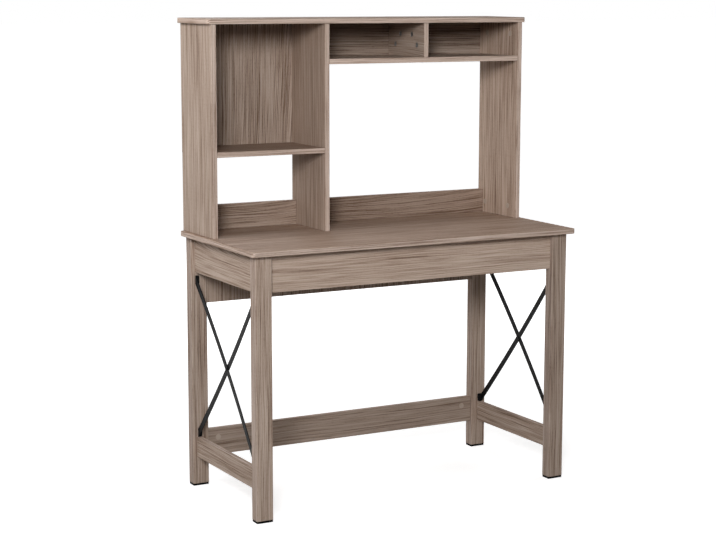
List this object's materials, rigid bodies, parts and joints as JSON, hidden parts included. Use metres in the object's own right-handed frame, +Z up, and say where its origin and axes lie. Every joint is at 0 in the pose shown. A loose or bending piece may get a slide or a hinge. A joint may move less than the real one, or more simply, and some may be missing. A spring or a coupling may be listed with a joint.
{
  "type": "student desk with hutch",
  "caption": "Freestanding writing desk with cross-braced sides, open knee space and a shelved hutch that holds a monitor, with a closed left bay and cubbies under its top.",
  "frame": {"origin": "on the floor, at the middle of the desk's outline seen from above", "axes": "+Z up, -Y towards the user at the front, +X to the user's right"},
  "size_m": [1.038, 0.4978, 1.355],
  "materials": {
    "desktop_laminate": "washed oak-look laminate, satin",
    "frame_laminate": "washed oak-look laminate, satin",
    "hutch_laminate": "washed oak-look laminate, satin",
    "back_board": "thin oak-look laminated board",
    "black_metal": "black powder coat",
    "black_plastic": "matte",
    "zinc": "plain zinc die casting",
    "plated_steel": "zinc plated",
    "beech": "unfinished beech",
    "cover_plastic": "matte, laminate colour"
  },
  "bodies": {
    "root": {"desktop": "desktop_laminate", "leg_front_left": "frame_laminate", "leg_front_right": "frame_laminate", "leg_rear_left": "frame_laminate", "leg_rear_right": "frame_laminate", "front_apron": "frame_laminate", "rear_apron": "frame_laminate", "side_apron_left": "frame_laminate", "side_apron_right": "frame_laminate", "rear_stretcher": "frame_laminate", "side_stretcher_left": "frame_laminate", "side_stretcher_right": "frame_laminate", "hutch_top": "hutch_laminate", "hutch_side_left": "hutch_laminate", "hutch_side_right": "hutch_laminate", "hutch_middle_panel": "hutch_laminate", "left_shelf": "hutch_laminate", "cubby_shelf": "hutch_laminate", "cubby_divider": "hutch_laminate", "rear_rail_left": "hutch_laminate", "rear_rail_right": "hutch_laminate", "left_back_board": "back_board", "cubby_back_board": "back_board", "brace_rising_left": "black_metal", "brace_falling_left": "black_metal", "brace_rising_right": "black_metal", "brace_falling_right": "black_metal", "brace_screws": "black_metal", "brace_rivets": "black_metal", "foot_glide_front_left": "black_plastic", "foot_glide_front_right": "black_plastic", "foot_glide_rear_left": "black_plastic", "foot_glide_rear_right": "black_plastic", "desk_cam_locks": "zinc", "hutch_cam_locks": "zinc", "desk_cam_bolts": "plated_steel", "hutch_cam_bolts": "plated_steel", "back_board_nails": "plated_steel", "glide_nails": "plated_steel", "desk_dowels": "beech", "hutch_dowels": "beech", "cam_covers": "cover_plastic"}
  },
  "joints": []
}
